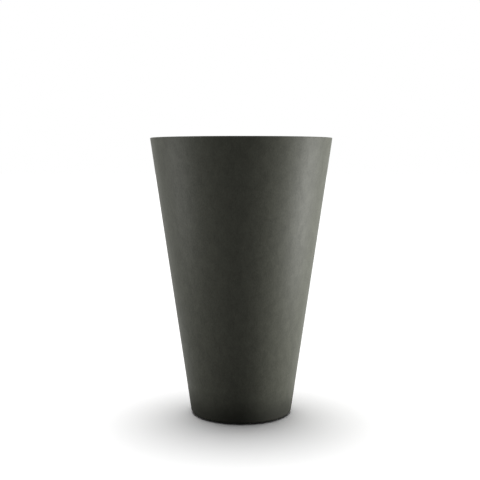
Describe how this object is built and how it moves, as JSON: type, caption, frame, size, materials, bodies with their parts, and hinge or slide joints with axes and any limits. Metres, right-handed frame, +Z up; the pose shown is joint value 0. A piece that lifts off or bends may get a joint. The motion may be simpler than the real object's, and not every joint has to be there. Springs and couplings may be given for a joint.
{
  "type": "tall planter",
  "caption": "Tall round tapered floor planter: moulded laminate shell with a flat rim lip, a lift-out false-bottom shelf, a bonded floor with drain plugs, and foot pads.",
  "frame": {"origin": "on the floor, in the middle of the planter: the bottom centre of its bounding box, level with the treads of the foot pads", "axes": "+Z up along the planter's axis; +X and -X point to the shelf's two finger holes; the foot pads stand on the diagonals between X and Y"},
  "size_m": [0.4556, 0.4556, 0.7],
  "materials": {
    "gelcoat_shell": "satin-matte dark olive-grey gelcoat with faint cloudy mottling, over glass-fibre laminate",
    "bare_laminate": "flow-coated glass-fibre laminate, faintly woven",
    "bonding_paste": "dull bonding paste, smoothed with a rounded tool",
    "stopper_rubber": "soft black rubber, matte",
    "shelf_plastic": "fine-grained moulded polypropylene, dark grey"
  },
  "bodies": {
    "planter": {"outer_shell": "gelcoat_shell", "rim_return": "gelcoat_shell", "floor_panel": "bare_laminate", "floor_bead": "bonding_paste", "foot_pad_1": "stopper_rubber", "foot_pad_2": "stopper_rubber", "foot_pad_3": "stopper_rubber", "foot_pad_4": "stopper_rubber"},
    "shelf": {"shelf": "shelf_plastic"},
    "drain_plug_1": {"drain_plug_1": "stopper_rubber"},
    "drain_plug_2": {"drain_plug_2": "stopper_rubber"},
    "drain_plug_3": {"drain_plug_3": "stopper_rubber"},
    "drain_plug_4": {"drain_plug_4": "stopper_rubber"}
  },
  "joints": [
    {"name": "shelf_lift", "type": "slide", "parent": "planter", "child": "shelf", "axis": [0, 0, 1], "range_m": [0, 0.36]},
    {"name": "drain_plug_1_pull", "type": "slide", "parent": "planter", "child": "drain_plug_1", "axis": [0, 0, 1], "range_m": [0, 0.04]},
    {"name": "drain_plug_2_pull", "type": "slide", "parent": "planter", "child": "drain_plug_2", "axis": [0, 0, 1], "range_m": [0, 0.04]},
    {"name": "drain_plug_3_pull", "type": "slide", "parent": "planter", "child": "drain_plug_3", "axis": [0, 0, 1], "range_m": [0, 0.04]},
    {"name": "drain_plug_4_pull", "type": "slide", "parent": "planter", "child": "drain_plug_4", "axis": [0, 0, 1], "range_m": [0, 0.04]}
  ]
}
